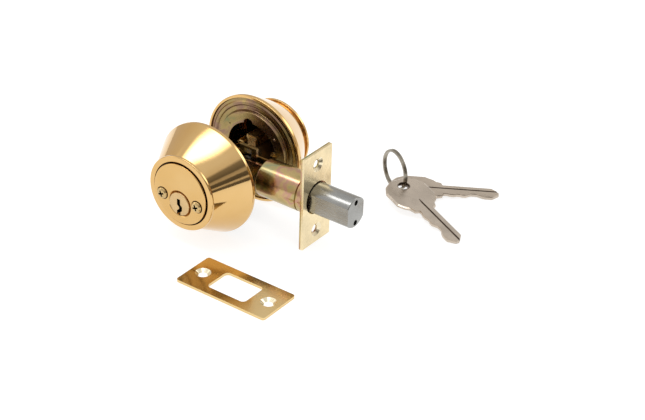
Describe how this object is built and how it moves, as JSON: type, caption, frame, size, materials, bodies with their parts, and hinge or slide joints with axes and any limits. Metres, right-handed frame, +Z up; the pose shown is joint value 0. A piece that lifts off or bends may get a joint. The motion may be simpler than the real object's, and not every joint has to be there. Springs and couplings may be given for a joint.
{
  "type": "double cylinder deadbolt lock",
  "caption": "Keyed deadbolt door lock: tapered round housings on both faces joined by a tubular latch with a sliding bolt and faceplate, with a flat strike plate and keys on a ring.",
  "frame": {"origin": "Where the axis of the cross bore meets the axis of the bolt, in the middle of the door's thickness.", "axes": "+X along the bolt, towards the door's edge; +Y along the cross bore, towards the outside of the door; +Z up when fitted. The rims of both housings, the strike plate and the keys all meet the plane z = -33 mm."},
  "size_m": [0.1538, 0.1888, 0.066],
  "materials": {
    "polished_brass": "polished, lacquered",
    "satin_brass": "satin",
    "yellow_zinc": "yellow chromated zinc plate",
    "plain_brass": "machined",
    "nickel_silver": "nickel plated, lightly brushed",
    "bolt_steel": "satin",
    "dark_steel": "bright to dull grey"
  },
  "bodies": {
    "case": {"interior_collar": "polished_brass", "interior_cylinder_body": "polished_brass", "interior_driver_pins": "plain_brass", "interior_pin_springs": "dark_steel", "interior_chamber_cap": "plain_brass", "interior_backplate": "yellow_zinc", "exterior_collar": "polished_brass", "exterior_cylinder_body": "polished_brass", "exterior_driver_pins": "plain_brass", "exterior_pin_springs": "dark_steel", "exterior_chamber_cap": "plain_brass", "exterior_backplate": "yellow_zinc", "mounting_screws": "plain_brass", "latch_tube": "yellow_zinc", "latch_nose": "yellow_zinc", "latch_faceplate": "satin_brass", "latch_backing_plate": "yellow_zinc", "latch_frame_inner": "yellow_zinc", "latch_frame_outer": "yellow_zinc", "frame_rivets": "dark_steel"},
    "interior_plug_group": {"interior_plug": "nickel_silver", "interior_plug_cap": "plain_brass", "interior_key_pins": "plain_brass"},
    "exterior_plug_group": {"exterior_plug": "nickel_silver", "exterior_plug_cap": "plain_brass", "exterior_key_pins": "plain_brass"},
    "crank": {"crank_hub": "dark_steel", "interior_tailpiece": "dark_steel", "exterior_tailpiece": "dark_steel"},
    "bolt_group": {"bolt": "bolt_steel", "bolt_tail": "yellow_zinc", "bolt_tail_rivet": "dark_steel", "bolt_hardened_pins": "dark_steel"},
    "strike": {"strike_plate": "polished_brass"},
    "ring": {"key_ring": "dark_steel"},
    "first_key": {"key_a": "nickel_silver"},
    "second_key": {"key_b": "nickel_silver"}
  },
  "joints": [
    {"name": "interior_key_turn", "type": "hinge", "parent": "case", "child": "interior_plug_group", "pos_m": [0, 0, -0.006], "axis": [0, -1, 0], "range_deg": [0, 90]},
    {"name": "crank_turn", "type": "hinge", "parent": "case", "child": "crank", "pos_m": [0, 0, -0.006], "axis": [0, -1, 0], "range_deg": [0, 90]},
    {"name": "bolt_throw", "type": "slide", "parent": "case", "child": "bolt_group", "axis": [-1, 0, 0], "range_m": [0, 0.0254]},
    {"name": "exterior_key_turn", "type": "hinge", "parent": "case", "child": "exterior_plug_group", "pos_m": [0, 0, -0.006], "axis": [0, -1, 0], "range_deg": [-90, 0]},
    {"name": "strike_lift", "type": "slide", "parent": "case", "child": "strike", "axis": [0, 0, 1], "range_m": [0, 0.1]},
    {"name": "key_ring_lift", "type": "slide", "parent": "case", "child": "ring", "axis": [0, 0, 1], "range_m": [0, 0.1]},
    {"name": "key_a_swing", "type": "hinge", "parent": "ring", "child": "first_key", "pos_m": [0.06814, 0.07573, -0.02565], "axis": [0.1014, -0.0419, 0.994], "range_deg": [-25, 15]},
    {"name": "key_b_swing", "type": "hinge", "parent": "ring", "child": "second_key", "pos_m": [0.06456, 0.07967, -0.02895], "axis": [0.0423, 0.0308, 0.9986], "range_deg": [-15, 25]}
  ],
  "couplings": [
    {"joint": "interior_key_turn", "follows": "bolt_throw", "rad_per_m": 61.842},
    {"joint": "crank_turn", "follows": "bolt_throw", "rad_per_m": 61.842}
  ]
}
